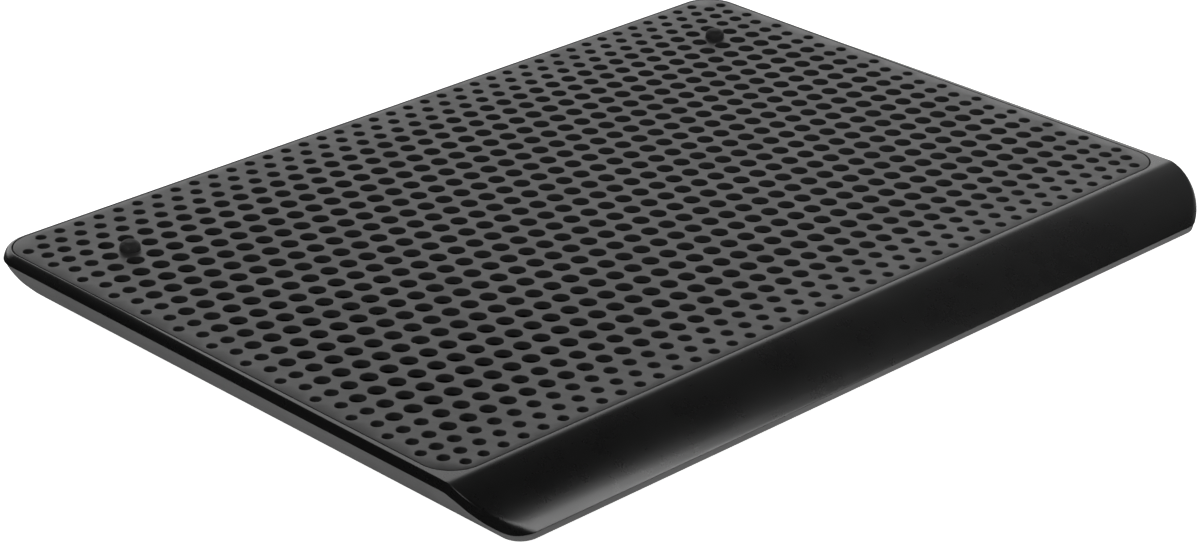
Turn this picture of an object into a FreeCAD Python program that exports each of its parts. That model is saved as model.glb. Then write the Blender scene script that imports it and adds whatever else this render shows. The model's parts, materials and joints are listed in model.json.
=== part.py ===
import FreeCAD, Part
import math
import os

# A laptop cooling pad: a perforated deck in a top frame with a rolled front edge, a tapered base
# shell, and two slim axial fans with their motors, leads, power board, feet and screws.
# Millimetres. +X is the user's right, +Y the rear, +Z up. The origin is the middle of the pad's
# footprint, on the table, so the feet stand on z = 0.

V = FreeCAD.Vector

# ---- outer form
padWidth = 377.4
padDepth = 271.6
deckZ = 20.5              # height of the deck surface above the table
floorZ = 2.6              # underside of the base shell
breakZ = 16.5             # where the upright rim turns into the wall that curves in
lipZ = 5.4                # parting line along the front
floorT = 2.0
wallT = 2.2
wallLean, wallBend = 0.30, 0.0314      # see wallInset
frontCornerR, frontCornerLowR = 21.0, 8.0
rearCornerR, rearCornerLowR = 13.0, 9.0
rimRound = 1.6
baseRound = 0.8
reveal = 0.25             # the base sits this far inside the frame at the parting line

# ---- rolled front edge: three arcs, each turning the surface further down
creaseR, creaseDeg = 8.0, 17.0
rollR, rollDeg = 47.0, 49.0
tipR = 1.0
partingDeg, partingR = 30.5, 7.0
partingStart = 0.8        # the parting line turns down this far in front of the deck

# ---- deck
deckHalfW, deckHalfD = 186.0, 122.0
deckCornerR = 12.8
deckT = 2.5
deckGap = 0.3
rearRim = 2.2
ledgeW = 2.4

# ---- hole pattern, in spacings from the middle of the deck
pitch, rowPitch = 9.0, 9.15
lastColumn, lastRow = 20.5, 13.5
squeezeColumn, squeezeColumnFrom = 0.06, 18.0
squeezeRow, squeezeRowFrom = 0.0283, 8.5
holeSizes = [6.6, 6.15, 5.15, 4.7, 4.15]       # diameters by grade, from the middle to the edge
stopColumns, stopRow = (-17, 17), 9.5
pinColumns = (-17, -11, -4, 4, 10, 17)
pinRows = (-10.5, -4.5, -0.5, 3.5, 9.5)
pinShift = (0.5, 0.45)    # the pins stand in the web beside a hole
pinR, pinDepth = 2.1, 2.5
screwPins = ((-17, 3.5), (17, 3.5), (-17, -10.5), (17, -10.5), (-4, 9.5), (4, 9.5), (-4, -10.5), (4, -10.5))
bossR, pilotR, bossEndZ = 3.1, 1.25, 12.0

# ---- rubber pieces
stopR, stopH, stopRound = 3.9, 3.3, 2.6
footR, footSink = 8.0, 0.6
footX, footFrontY, footRearY = 152.0, -110.0, 104.0

# ---- fans
fanSize, fanT, fanX = 80.0, 10.0, 90.0
fanBed = 0.3              # pads lift the fans off the floor
fanScrewHalf = 35.75
ductR, hubR, bladeTipR, bladeCount = 38.0, 14.0, 36.8, 9
shaftR, bearingGap = 1.0, 0.03

# ---- power board and cable gland
boardX, boardY = 4.5, 104.0
boardW, boardD, boardT, boardLift = 34.0, 16.0, 1.2, 2.5
glandWallY, glandWallT, glandZ, glandBoreR = 126.7, 2.2, 10.0, 1.8
leadR = 1.0
leadOut = 30.0            # the leads run to the rear this far to either side of the power board
clipPlaces = (34.0, 66.0)

# ---- worked out from the values above
halfW = padWidth / 2
yFront, yRear = -padDepth / 2, padDepth / 2
deckY = yRear - rearRim - deckHalfD
deckLowZ = deckZ - deckT
innerFloor = floorZ + floorT
fanZ = innerFloor + fanBed
boardZ = innerFloor + boardLift
leadZ = innerFloor + leadR


# ---- helpers
def cylinder(x, y, z0, z1, r):
    return Part.makeCylinder(r, z1 - z0, V(x, y, z0))


def ring(x, y, z0, z1, rOut, rIn):
    return cylinder(x, y, z0, z1, rOut).cut(cylinder(x, y, z0 - 1, z1 + 1, rIn))


def block(x0, x1, y0, y1, z0, z1):
    return Part.makeBox(x1 - x0, y1 - y0, z1 - z0, V(x0, y0, z0))


def outline(halfX, y0, y1, r0, r1, z):
    """A closed wire: a rectangle with front corners of radius r0 and rear corners of radius r1."""
    corners = [(halfX - r0, y0 + r0, r0, -90), (halfX - r1, y1 - r1, r1, 0),
               (r1 - halfX, y1 - r1, r1, 90), (r0 - halfX, y0 + r0, r0, 180)]
    arcs = []
    for cx, cy, r, start in corners:
        angles = [math.radians(start + turn) for turn in (0, 45, 90)]
        arcs.append([V(cx + r * math.cos(a), cy + r * math.sin(a), z) for a in angles])
    edges = []
    for i, arc in enumerate(arcs):
        edges.append(Part.Arc(*arc).toShape())
        edges.append(Part.LineSegment(arc[2], arcs[(i + 1) % 4][0]).toShape())
    return Part.Wire(edges)


def slab(wire, height):
    return Part.Face(wire).extrude(V(0, 0, height))


def arcInSection(centre, r, angles):
    """An arc in the side section. Angle 0 is straight up and angles turn towards the front."""
    middle = (angles[0] + angles[1]) / 2
    points = [V(0, centre[0] - r * math.sin(a), centre[1] + r * math.cos(a))
              for a in (angles[0], middle, angles[1])]
    return Part.Arc(*points).toShape(), points[0], points[2]


def sidePrism(edges):
    """A closed outline drawn in the YZ plane, carried right across the pad."""
    reach = halfW + 20
    face = Part.Face(Part.Wire(edges))
    face.translate(V(-reach, 0, 0))
    return face.extrude(V(2 * reach, 0, 0))


def line(a, b):
    return Part.LineSegment(a, b).toShape()


# ---- outer form
def wallInset(fall):
    """How far the side and rear walls have run in at this depth below breakZ, along a parabola."""
    return wallLean * fall + wallBend * fall ** 2


def tub(inset, zTop, zLow):
    """The pad's body without its top: upright above breakZ, curving in below it."""
    sections = []
    for fall in (breakZ - zLow, (breakZ - zLow) / 2, 0.0):
        share = fall / (breakZ - floorZ)
        front = frontCornerR - inset - (frontCornerR - frontCornerLowR) * share
        rear = rearCornerR - inset - (rearCornerR - rearCornerLowR) * share
        side = inset + wallInset(fall)
        sections.append(outline(halfW - side, yFront + inset, yRear - side, front, rear, breakZ - fall))
    body = Part.makeLoft(sections, True, False)
    return body.fuse(slab(sections[-1], zTop - breakZ)).removeSplitter()


def underRoll(inset):
    """Everything below the deck surface and behind the rolled front edge, moved in by inset."""
    a1, a2, a3 = math.radians(creaseDeg), math.radians(rollDeg), math.pi / 2
    reach = creaseR * math.sin(a1) + rollR * (math.sin(a2) - math.sin(a1)) + tipR * (1 - math.sin(a2))
    c1 = (yFront + reach, deckZ - creaseR)
    c2 = (c1[0] - (creaseR - rollR) * math.sin(a1), c1[1] + (creaseR - rollR) * math.cos(a1))
    c3 = (c2[0] - (rollR - tipR) * math.sin(a2), c2[1] + (rollR - tipR) * math.cos(a2))
    crease, start, _ = arcInSection(c1, creaseR - inset, (0.0, a1))
    roll, _, end = arcInSection(c2, rollR - inset, (a1, a2))
    edges = [crease, roll]
    if inset < tipR:
        tip, _, end = arcInSection(c3, tipR - inset, (a2, a3))
        edges.append(tip)
    far = yRear + 10
    low = floorZ - 10
    top = deckZ - inset
    return sidePrism([line(V(0, far, top), start)] + edges + [
        line(end, V(0, end.y, low)), line(V(0, end.y, low), V(0, far, low)),
        line(V(0, far, low), V(0, far, top))])


def abovePartingLine():
    """The space over the parting line: level along the sides, dipping under the front edge."""
    a, r = math.radians(partingDeg), partingR
    y0 = deckY - deckHalfD - partingStart
    upper, first, mid = arcInSection((y0, breakZ - r), r, (0.0, a))
    run = (mid.z - lipZ - r * (1 - math.cos(a))) / math.tan(a)
    join = V(0, mid.y - run, mid.z - run * math.tan(a))
    bend = (join.y - r * math.sin(a), join.z + r * math.cos(a))
    lower, _, last = arcInSection(bend, r, (math.pi + a, math.pi))
    far, high = yRear + 10, deckZ + 10
    front = yFront - 10
    return sidePrism([
        line(V(0, far, breakZ), first), upper, line(mid, join), lower,
        line(last, V(0, front, lipZ)), line(V(0, front, lipZ), V(0, front, high)),
        line(V(0, front, high), V(0, far, high)), line(V(0, far, high), V(0, far, breakZ))])


def isRimEdge(edge):
    """True for the outer edge of the level top surface."""
    level = abs(edge.BoundBox.ZMin - deckZ) < 0.01 and abs(edge.BoundBox.ZMax - deckZ) < 0.01
    middle = edge.valueAt((edge.FirstParameter + edge.LastParameter) / 2)
    return level and middle.y > deckY - deckHalfD


def topFrame():
    frame = tub(0, deckZ + 1, floorZ).common(underRoll(0)).common(abovePartingLine())
    frame = frame.makeFillet(rimRound, [e for e in frame.Edges if isRimEdge(e)])
    y0, y1 = deckY - deckHalfD, deckY + deckHalfD
    g, w = deckGap, ledgeW
    seat = slab(outline(deckHalfW + g, y0 - g, y1 + g, deckCornerR + g, deckCornerR + g, deckLowZ), deckT + 1)
    window = slab(outline(deckHalfW - w, y0 + w, y1 - w, deckCornerR - w, deckCornerR - w, 0), deckZ)
    hollow = tub(wallT, deckZ, floorZ - 1).common(underRoll(wallT))
    hollow = hollow.common(block(-halfW, halfW, yFront, y0 - wallT, 0, deckZ))
    return frame.cut(seat).cut(window).cut(hollow)


# ---- hole pattern
def holePlace(column, row):
    """A hole's centre. The pattern closes up slightly towards the edges."""
    past = max(0.0, abs(column) - squeezeColumnFrom), max(0.0, abs(row) - squeezeRowFrom)
    x = pitch * (abs(column) - squeezeColumn * past[0] ** 2)
    y = rowPitch * (abs(row) - squeezeRow * past[1] ** 2)
    return math.copysign(x, column), deckY + math.copysign(y, row)


def holeSize(column, row):
    """The diameter by the hole's grade, or None where the rounded corner leaves no hole."""
    stepsX, stepsY = 2 * (lastColumn - abs(column)), lastRow - abs(row)
    if stepsX < 2 and stepsY < 1:
        return None
    gradeX, gradeY = [{0: 4, 1: 3, 2: 2, 3: 1, 4: 1}.get(int(steps), 0) for steps in (stepsX, stepsY)]
    both = 1 if gradeX == 1 and gradeY == 1 else 0
    return holeSizes[max(gradeX, gradeY) + both]


def deckHoles():
    """Every through hole as (x, y, diameter), row by row, without the two that hold the stops."""
    holes = []
    for i in range(int(2 * lastRow) + 1):
        row = i - lastRow
        first = lastColumn if i % 2 == 0 else lastColumn - 0.5
        for k in range(int(2 * first) + 1):
            column = k - first
            size = holeSize(column, row)
            if size and not (abs(column) == stopColumns[1] and row == stopRow):
                holes.append(holePlace(column, row) + (size,))
    return holes


def pinPlace(column, row):
    return (column + pinShift[0]) * pitch, deckY + (row + pinShift[1]) * rowPitch


def meshPanel():
    edge = outline(deckHalfW, deckY - deckHalfD, deckY + deckHalfD, deckCornerR, deckCornerR, deckLowZ)
    centres = deckHoles() + [holePlace(c, stopRow) + (holeSizes[0],) for c in stopColumns]
    down = V(0, 0, -1)       # holes run the other way round from the outer edge
    rings = [Part.Wire(Part.makeCircle(size / 2, V(x, y, deckLowZ), down)) for x, y, size in centres]
    plate = Part.Face([edge] + rings).extrude(V(0, 0, deckT))
    posts = []
    for column in pinColumns:
        for row in pinRows:
            x, y = pinPlace(column, row)
            if (column, row) in screwPins:
                posts.append(ring(x, y, bossEndZ, deckLowZ, bossR, pilotR))
            elif row != stopRow or column not in stopColumns:
                posts.append(cylinder(x, y, deckLowZ - pinDepth, deckLowZ, pinR))
    clear = Part.makeCompound([cylinder(x, y, bossEndZ - 1, deckLowZ, size / 2)
                               for x, y, size in deckHoles() if nearPin(x, y)])
    return plate.fuse([post.cut(clear) for post in posts])


def nearPin(x, y):
    """True for a hole close enough to a pin or boss to bite into it."""
    reach = bossR + holeSizes[0] / 2
    return any(math.hypot(x - px, y - py) < reach
               for px, py in [pinPlace(c, r) for c in pinColumns for r in pinRows])


def rubberStop(column):
    """A rubber stop plugged into a hole: round head above, stem through the deck, barb below."""
    x, y = holePlace(column, stopRow)
    head = cylinder(x, y, deckZ, deckZ + stopH, stopR)
    head = head.makeFillet(stopRound, [e for e in head.Edges if e.BoundBox.ZMin > deckZ + stopH - 0.01])
    stem = cylinder(x, y, deckLowZ, deckZ, holeSizes[0] / 2)
    barb = cylinder(x, y, deckLowZ - 1.2, deckLowZ, holeSizes[0] / 2 + 0.5)
    return head.fuse([stem, barb]).removeSplitter()


# ---- base shell
def intakeGrille(x):
    """Four rings of slots under a fan, crossed by six spokes."""
    slots = [ring(x, deckY, floorZ - 1, innerFloor + 1, r + 3.6, r) for r in (15.5, 21.0, 26.5, 32.0)]
    spoke = block(-40, 40, -1.4, 1.4, floorZ - 2, innerFloor + 2)
    spokes = []
    for k in range(3):
        bar = spoke.copy()
        bar.rotate(V(0, 0, 0), V(0, 0, 1), 30 + 60 * k)
        bar.translate(V(x, deckY, 0))
        spokes.append(bar)
    return Part.makeCompound(slots).cut(Part.makeCompound(spokes))


def fanCorners(x):
    return [(x + sx * fanScrewHalf, deckY + sy * fanScrewHalf) for sx in (-1, 1) for sy in (-1, 1)]


def footPlaces():
    return {"front_left": (-footX, footFrontY), "front_right": (footX, footFrontY),
            "rear_left": (-footX, footRearY), "rear_right": (footX, footRearY)}


def boardCorners():
    return [(boardX + sx * (boardW / 2 - 3), boardY) for sx in (-1, 1)]


def bottomShell():
    outer = tub(reveal, deckZ, floorZ).cut(abovePartingLine())
    lowEdges = [e for e in outer.Edges if e.BoundBox.ZMax < floorZ + 0.01]
    outer = outer.makeFillet(baseRound, lowEdges)
    room = tub(reveal + wallT, deckZ + 1, innerFloor)
    shell = outer.cut(room)
    glandBox = block(boardX - 10, boardX + 10, glandWallY - glandWallT, yRear, innerFloor - 0.5, breakZ)
    shell = shell.fuse(glandBox.common(outer))
    adds = []
    cuts = [block(boardX - 8, boardX + 8, glandWallY, yRear + 1, glandZ - 5, glandZ + 5),
            Part.makeCylinder(3.4, 10, V(boardX, glandWallY - 8, glandZ), V(0, 1, 0))]
    for column, row in screwPins:
        x, y = pinPlace(column, row)
        adds.append(cylinder(x, y, innerFloor - 0.5, bossEndZ, 4.4))
        cuts.append(cylinder(x, y, floorZ - 1, 8.0, 2.9))
        cuts.append(cylinder(x, y, 7.5, bossEndZ + 1, 1.5))
    for side in (-1, 1):
        cuts.append(intakeGrille(side * fanX))
        for x, y in fanCorners(side * fanX):
            adds.append(cylinder(x, y, innerFloor - 0.5, fanZ, 4.0))
            adds.append(cylinder(x, y, innerFloor - 0.5, fanZ + 6.5, 2.0))
            cuts.append(cylinder(x, y, fanZ + 1.5, fanZ + 7.0, 1.2))
        for y in clipPlaces:
            for offset in (-1, 1):
                x = boardX + side * leadOut + offset * 1.9
                adds.append(block(x - 0.6, x + 0.6, y - 2, y + 2, innerFloor - 0.5, innerFloor + 4.5))
    for x, y in boardCorners():
        adds.append(cylinder(x, y, innerFloor - 0.5, boardZ, 2.6))
        cuts.append(cylinder(x, y, innerFloor + 0.2, boardZ + 1, 0.9))
    for x, y in footPlaces().values():
        cuts.append(cylinder(x, y, floorZ - 1, floorZ + footSink, footR))
    return shell.fuse(adds).cut(Part.makeCompound(cuts)).removeSplitter()


# ---- screws
def screw(x, y, zSeat, zEnd, shankR, headR, headH, headUp):
    """A pan-head screw. The head's seat is at zSeat and the shank runs from there to zEnd."""
    headEnd = zSeat + headH if headUp else zSeat - headH
    low, high = sorted((zSeat, headEnd))
    head = cylinder(x, y, low, high, headR)
    rim = [e for e in head.Edges if abs(e.BoundBox.ZMax - headEnd) < 1e-6 and e.Length > headR]
    head = head.makeFillet(headH * 0.45, rim)
    shankLow, shankHigh = sorted((zSeat, zEnd))
    body = head.fuse(cylinder(x, y, shankLow, shankHigh, shankR)).removeSplitter()
    crossLow, crossHigh = sorted((headEnd, headEnd + (zSeat - headEnd) * 0.55))
    arm = headR * 0.5
    cross = [block(x - arm, x + arm, y - 0.3, y + 0.3, crossLow, crossHigh),
             block(x - 0.3, x + 0.3, y - arm, y + arm, crossLow, crossHigh)]
    return body.cut(cross[0].fuse(cross[1]))


def caseScrews():
    return Part.makeCompound([screw(*pinPlace(c, r), 8.0, 15.5, pilotR, 2.6, 1.8, False)
                              for c, r in screwPins])


def fanScrews(x):
    top = fanZ + fanT
    return Part.makeCompound([screw(sx, sy, top, fanZ + 1.7, 1.2, 2.9, 1.5, True) for sx, sy in fanCorners(x)])


def boardScrews():
    return Part.makeCompound([screw(x, y, boardZ + boardT, innerFloor + 0.4, 0.9, 1.9, 1.1, True)
                              for x, y in boardCorners()])


# ---- fan, built at its own centre with its underside at z = 0, then moved into place
def fanFrame():
    half = fanSize / 2
    body = slab(outline(half, -half, half, 4.0, 4.0, 0), fanT)
    waist = slab(outline(half + 1, -half - 1, half + 1, 4.0, 4.0, 2.4), fanT - 4.8)
    keep = cylinder(0, 0, 0, fanT, ductR + 1.6)
    lugs = [cylinder(sx * fanScrewHalf, sy * fanScrewHalf, 0, fanT, 4.2) for sx in (-1, 1) for sy in (-1, 1)]
    body = body.cut(waist.cut(keep.fuse(lugs)))
    body = body.cut(cylinder(0, 0, -1, fanT + 1, ductR))
    base = cylinder(0, 0, 0, 1.2, 14.2)
    tube = cylinder(0, 0, 0, 7.2, 3.2)
    arms = []
    for k in range(4):
        arm = block(12.5, ductR + 0.8, -1.5, 1.5, 0, 1.8)
        arm.rotate(V(0, 0, 0), V(0, 0, 1), 20 + 90 * k)
        arms.append(arm)
    body = body.fuse([base, tube] + arms)
    cuts = [cylinder(0, 0, 1.8, 8, 2.5), cylinder(0, 0, 0.5, 2, 2.2)]
    cuts += [cylinder(sx * fanScrewHalf, sy * fanScrewHalf, -1, fanT + 1, 2.2) for sx in (-1, 1) for sy in (-1, 1)]
    return body.cut(Part.makeCompound(cuts)).removeSplitter()


def bladeSection(r, pitchDeg, chord, thickness, sweepDeg):
    """A thin four-sided section of a blade, standing across the radius at distance r."""
    a, s = math.radians(pitchDeg), math.radians(sweepDeg)
    points = []
    for u, w in ((-0.5, -0.5), (0.5, -0.5), (0.5, 0.5), (-0.5, 0.5)):
        along = u * chord * math.cos(a) - w * thickness * math.sin(a)
        up = u * chord * math.sin(a) + w * thickness * math.cos(a)
        points.append(V(r * math.cos(s) - along * math.sin(s), r * math.sin(s) + along * math.cos(s), 6.0 + up))
    return Part.makePolygon(points + points[:1])


def impeller():
    hub = cylinder(0, 0, 2.2, 9.6, hubR)
    top = [e for e in hub.Edges if e.BoundBox.ZMin > 9.5]
    hub = hub.makeFillet(0.8, top)
    blade = Part.makeLoft([bladeSection(hubR - 1.0, 34, 9.5, 1.0, 0), bladeSection(25, 27, 13.5, 0.9, 5),
                           bladeSection(bladeTipR, 22, 17.0, 0.8, 14)], True, False)
    blades = []
    for k in range(bladeCount):
        copy = blade.copy()
        copy.rotate(V(0, 0, 0), V(0, 0, 1), 360.0 * k / bladeCount)
        blades.append(copy)
    body = hub.fuse(blades)
    body = body.cut(cylinder(0, 0, 1, 8.6, 12.2))
    return body.fuse(cylinder(0, 0, 7.6, 9.0, 2.3)).cut(cylinder(0, 0, 7, 9.0, shaftR)).removeSplitter()


def rotorCup():
    cup = cylinder(0, 0, 2.5, 8.6, 12.2).cut(cylinder(0, 0, 2, 8.0, 11.6))
    return cup.cut(cylinder(0, 0, 7, 9, 2.3))


def magnetRing():
    return ring(0, 0, 2.7, 8.0, 11.6, 10.2)


def fanShaft():
    shaft = cylinder(0, 0, 0.9, 9.0, shaftR)
    return shaft.cut(ring(0, 0, 1.15, 1.45, 2, 0.7))


def shaftClip():
    clip = ring(0, 0, 1.18, 1.42, 1.9, 0.7)
    return clip.cut(block(-0.45, 0.45, 0, 3, 1, 2))


def sleeveBearing():
    return ring(0, 0, 1.8, 7.0, 2.5, shaftR + bearingGap)


def statorCore():
    poles = [ring(0, 0, 3.2, 6.2, 5.0, 3.2)]
    shoe = ring(0, 0, 3.2, 6.2, 9.7, 8.5)
    for k in range(4):
        stem = block(4.5, 9.0, -1.3, 1.3, 3.2, 6.2)
        wedge = shoe.common(block(5, 10, -5.4, 5.4, 3.2, 6.2))
        pole = stem.fuse(wedge)
        pole.rotate(V(0, 0, 0), V(0, 0, 1), 45 + 90 * k)
        poles.append(pole)
    return poles[0].fuse(poles[1:]).removeSplitter()


def statorCoils():
    coils = []
    for k in range(4):
        coil = block(5.3, 8.2, -2.2, 2.2, 2.5, 6.9).cut(block(5, 9, -1.3, 1.3, 3.2, 6.2))
        coil = coil.makeFillet(0.35, [e for e in coil.Edges if abs(e.Length - 2.9) < 0.01
                                      and abs(e.CenterOfMass.y) > 2])
        coil.rotate(V(0, 0, 0), V(0, 0, 1), 45 + 90 * k)
        coils.append(coil)
    return Part.makeCompound(coils)


def fanBoard():
    return ring(0, 0, 1.2, 2.0, 11.5, 3.2)


# ---- leads and power board
def lead(side):
    """A twin lead as one tube: from the fan's frame along the floor to the edge of the power board."""
    lane = boardX + side * leadOut
    startY = deckY - 14.0
    route = [V(side * (fanX - fanSize / 2), startY, leadZ + 1.2), V(lane + side * 6, startY, leadZ),
             V(lane, startY + 9.0, leadZ), V(lane, boardY - 16.0, leadZ),
             V(lane - side * 4, boardY - 5.0, leadZ + 1.0),
             V(boardX + side * boardW / 2, boardY - 1.0, boardZ + boardT / 2)]
    return tubeAlong(route, leadR)


def tubeAlong(route, r):
    """A round tube on straight runs joined by tangent arcs, as large as the runs allow."""
    edges = []
    start = route[0]
    for before, corner, after in zip(route, route[1:], route[2:]):
        inward, outward = corner - before, after - corner
        back = 0.45 * min(inward.Length, outward.Length)
        inward.normalize()
        outward.normalize()
        turn = inward.getAngle(outward)
        a, b = corner - inward * back, corner + outward * back
        bisector = outward - inward
        bisector.normalize()
        radius = back / math.tan(turn / 2)
        middle = corner + bisector * (radius / math.cos(turn / 2) - radius)
        edges.append(line(start, a))
        edges.append(Part.Arc(a, middle, b).toShape())
        start = b
    edges.append(line(start, route[-1]))
    path = Part.Wire(edges)
    direction = route[1] - route[0]
    section = Part.Wire(Part.makeCircle(r, route[0], direction))
    return path.makePipeShell([section], True, False)


def powerBoard():
    x0, x1 = boardX - boardW / 2, boardX + boardW / 2
    board = block(x0, x1, boardY - boardD / 2, boardY + boardD / 2, boardZ, boardZ + boardT)
    top = boardZ + boardT
    chip = block(boardX - 11, boardX - 5, boardY + 1.5, boardY + 6.5, top, top + 1.6)
    capacitor = cylinder(boardX + 9, boardY + 4, top, top + 4.5, 2.4)
    part = board.fuse([chip, capacitor])
    return part.cut(Part.makeCompound([cylinder(x, y, 0, 20, 1.0) for x, y in boardCorners()])).removeSplitter()


def cableGrommet():
    """A rubber bush in the rear wall: flange outside, neck in the wall, flange inside."""
    y = glandWallY

    def turned(y0, y1, r):
        return Part.makeCylinder(r, y1 - y0, V(boardX, y0, glandZ), V(0, 1, 0))

    inner = y - glandWallT
    body = turned(inner, y, 3.4).fuse([turned(y, y + 1.5, 4.6), turned(inner - 1.4, inner, 4.4)])
    return body.removeSplitter().cut(turned(y - 10, y + 10, glandBoreR))


def foot(x, y):
    pad = cylinder(x, y, 0, floorZ + footSink, footR)
    return pad.makeFillet(0.7, [e for e in pad.Edges if e.BoundBox.ZMax < 0.01 and e.Length > footR])


# ---- build and export
def movedTo(shape, x):
    placed = shape.copy()
    placed.translate(V(x, deckY, fanZ))
    return placed


def build():
    nodes = {"top_frame": topFrame(), "mesh_panel": meshPanel(), "bottom_shell": bottomShell(),
             "case_screws": caseScrews(), "power_board": powerBoard(), "board_screws": boardScrews(),
             "cable_grommet": cableGrommet()}
    for name, (x, y) in footPlaces().items():
        nodes["foot_" + name] = foot(x, y)
    fanPieces = {"fan_frame": fanFrame, "impeller": impeller, "rotor_cup": rotorCup,
                 "magnet_ring": magnetRing, "fan_shaft": fanShaft, "shaft_clip": shaftClip,
                 "sleeve_bearing": sleeveBearing, "stator_core": statorCore,
                 "stator_coils": statorCoils, "fan_board": fanBoard}
    for side, sign in (("left", -1), ("right", 1)):
        nodes["rubber_stop_" + side] = rubberStop(sign * stopColumns[1])
        nodes["fan_screws_" + side] = fanScrews(sign * fanX)
        nodes["fan_lead_" + side] = lead(sign)
        for name, make in fanPieces.items():
            nodes[name + "_" + side] = movedTo(make(), sign * fanX)
    return nodes


os.makedirs("parts", exist_ok=True)
for name, shape in build().items():
    shape.exportStep("parts/" + name + ".step")
    print(name, shape.isValid(), len(shape.Solids), round(shape.Volume, 1))
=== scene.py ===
import json
import math

import bpy
import numpy as np
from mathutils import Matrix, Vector
from mathutils.geometry import delaunay_2d_cdt


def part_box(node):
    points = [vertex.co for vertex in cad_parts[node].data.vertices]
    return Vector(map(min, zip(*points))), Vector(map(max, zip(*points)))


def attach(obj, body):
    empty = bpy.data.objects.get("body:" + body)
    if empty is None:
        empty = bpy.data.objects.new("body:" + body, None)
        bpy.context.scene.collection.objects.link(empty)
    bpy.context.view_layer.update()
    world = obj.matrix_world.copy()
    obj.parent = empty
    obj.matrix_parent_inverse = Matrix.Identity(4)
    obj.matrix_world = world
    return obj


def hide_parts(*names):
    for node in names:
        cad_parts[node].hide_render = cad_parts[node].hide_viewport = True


# A laptop cooling pad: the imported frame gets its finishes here, and the deck and the top frame
# are rebuilt as fine surfaces in the same places. Metres, +X right, +Y rear, +Z up.

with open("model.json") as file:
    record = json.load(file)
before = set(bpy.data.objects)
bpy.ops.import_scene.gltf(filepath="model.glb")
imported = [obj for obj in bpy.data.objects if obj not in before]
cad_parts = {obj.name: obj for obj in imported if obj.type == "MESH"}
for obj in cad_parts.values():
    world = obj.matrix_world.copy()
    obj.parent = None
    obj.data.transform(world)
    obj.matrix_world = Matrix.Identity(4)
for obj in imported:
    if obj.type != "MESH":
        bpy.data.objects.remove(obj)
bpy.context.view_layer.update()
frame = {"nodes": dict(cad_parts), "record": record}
nodes = frame["nodes"]
mm = 0.001


# places read from the frame
deckLow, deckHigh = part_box("mesh_panel")
frameLow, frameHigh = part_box("top_frame")
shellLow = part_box("bottom_shell")[0]
deckTop = deckHigh.z
deckMidY = (deckLow.y + deckHigh.y) / 2
print("frame loaded:", len(nodes), "nodes")


# meshes from arrays
def makePiece(name, verts, faces, body, material, sharpDeg=38):
    # Puts arrays of corners and faces into a mesh object that rides on a body.
    mesh = bpy.data.meshes.new(name)
    mesh.from_pydata(np.asarray(verts).tolist(), [], faces)
    mesh.validate()
    mesh.shade_smooth()
    mesh.set_sharp_from_angle(angle=math.radians(sharpDeg))
    piece = bpy.data.objects.new(name, mesh)
    bpy.context.scene.collection.objects.link(piece)
    mesh.materials.append(material)
    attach(piece, body)
    return piece


def gridFaces(rows, columns, wrapRows=False, wrapColumns=False, first=0):
    # Quads between neighbouring rows and columns of a grid whose corners are stored row by row.
    r = np.arange(rows if wrapRows else rows - 1)
    c = np.arange(columns if wrapColumns else columns - 1)
    r0, c0 = np.meshgrid(r, c, indexing="ij")
    r1, c1 = (r0 + 1) % rows, (c0 + 1) % columns
    quads = np.stack([r0 * columns + c0, r0 * columns + c1, r1 * columns + c1, r1 * columns + c0], -1)
    return (quads.reshape(-1, 4) + first).tolist()


# plan outlines
def outlineRing(arcSteps, straightSteps):
    # Where each point of a rounded rectangle lies: its two corners, its share of the way, its angles.
    cornerA, cornerB, share, angleA, angleB = [], [], [], [], []
    for k in range(4):
        start = -90.0 + 90.0 * k
        turn = np.linspace(start, start + 90.0, arcSteps + 1)
        along = np.linspace(0.0, 1.0, straightSteps + 1)[1:-1]
        cornerA += [k] * (len(turn) + len(along))
        cornerB += [k] * len(turn) + [(k + 1) % 4] * len(along)
        share += [0.0] * len(turn) + along.tolist()
        angleA += turn.tolist() + [start + 90.0] * len(along)
        angleB += turn.tolist() + [start + 90.0] * len(along)
    return (np.array(cornerA), np.array(cornerB), np.array(share),
            np.radians(angleA), np.radians(angleB))


def outlinePoints(ring, halfX, y0, y1, rFront, rRear):
    # A rounded rectangle: each corner point is its arc's centre plus the radius along its angle,
    # and each point of a side lies by its share between the ends of the two arcs beside it.
    cornerA, cornerB, share, angleA, angleB = ring
    signX = np.array([1.0, 1.0, -1.0, -1.0])
    signY = np.array([-1.0, 1.0, 1.0, -1.0])

    def cornerPoint(corner, angle):
        sx, sy = signX[corner], signY[corner]
        r = np.where(sy < 0, rFront, rRear)
        centreX = sx * (halfX - r)
        centreY = np.where(sy < 0, y0, y1) - sy * r
        return np.stack([centreX + r * np.cos(angle), centreY + r * np.sin(angle)], -1)

    a, b = cornerPoint(cornerA, angleA), cornerPoint(cornerB, angleB)
    return a + (b - a) * share[:, None]


# form of the top frame and the walls
topFrameShape = {
    "rearRadius": 13.0 * mm, "rearRadiusLow": 9.0 * mm,       # plan corners at the rim and at the base
    "frontRadius": 21.0 * mm, "frontRadiusLow": 8.0 * mm,
    "breakDrop": 4.0 * mm, "lean": 0.30, "bend": 31.4,    # where the wall curves in, and how much
    "crease": 8.0 * mm, "creaseDeg": 17.0, "roll": 47.0 * mm, "rollDeg": 49.0, "tip": 1.0 * mm,
    "parting": 7.0 * mm, "partingDeg": 30.5, "partingStart": 0.8 * mm,
    "deckRadius": 12.8 * mm, "gap": 0.3 * mm, "ledge": 2.4 * mm, "wall": 2.2 * mm,
    "rimRound": 3.9 * mm, "frontRound": 2.4 * mm, "rimCut": 0.9 * mm, "lipRound": 0.03 * mm,
    "arcSteps": 44, "straightSteps": 60, "topSteps": 44, "roundSteps": 9, "sideSteps": 4, "underSteps": 10,
}


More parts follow.
